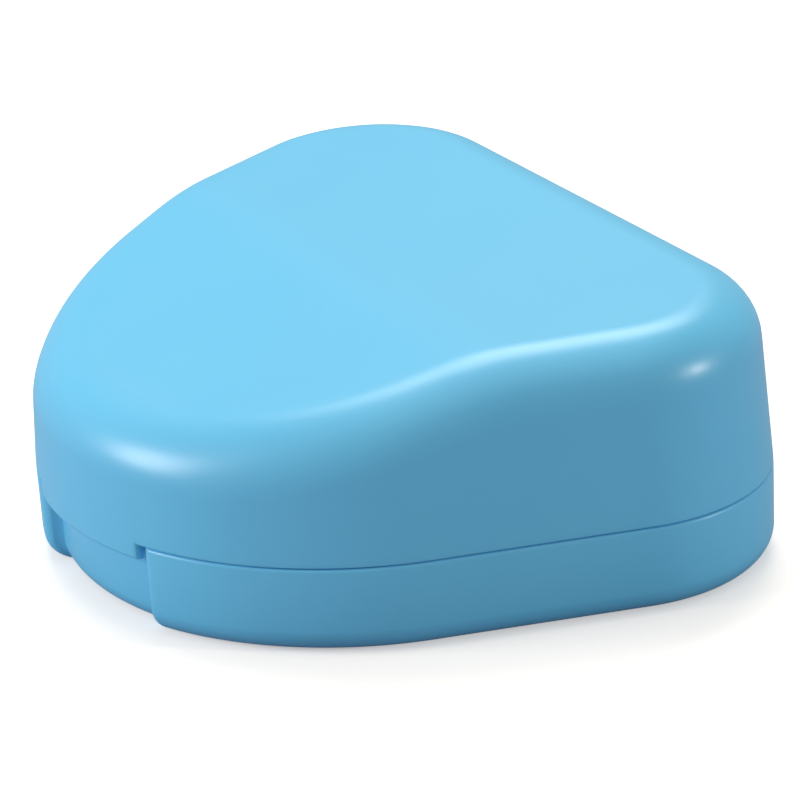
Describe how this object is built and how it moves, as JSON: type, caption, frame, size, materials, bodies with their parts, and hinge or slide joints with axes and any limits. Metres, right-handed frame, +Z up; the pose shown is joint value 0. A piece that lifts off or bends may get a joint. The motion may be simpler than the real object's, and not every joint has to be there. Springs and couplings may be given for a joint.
{
  "type": "retainer case",
  "caption": "Hinged moulded case for an orthodontic retainer: a shallow tray under a deep lid that slopes down to a rounded nose with a thumb tab, turning on a steel pin at the rear.",
  "frame": {"origin": "on the flat face the case stands on, on the centre line, midway between the tip of the nose and the rear wall", "axes": "+X across the hinge, -Y towards the rounded nose that opens, +Y towards the hinge, +Z up"},
  "size_m": [0.078, 0.0702, 0.0285],
  "materials": {
    "plastic": "light blue moulded polypropylene, glossy",
    "steel": "drawn stainless steel wire"
  },
  "bodies": {
    "base": {"tray": "plastic", "hinge_pin": "steel"},
    "cover": {"lid": "plastic"}
  },
  "joints": [
    {"name": "lid_hinge", "type": "hinge", "parent": "base", "child": "cover", "pos_m": [0, 0.0353, 0.0094], "axis": [-1, 0, 0], "range_deg": [0, 135]}
  ]
}
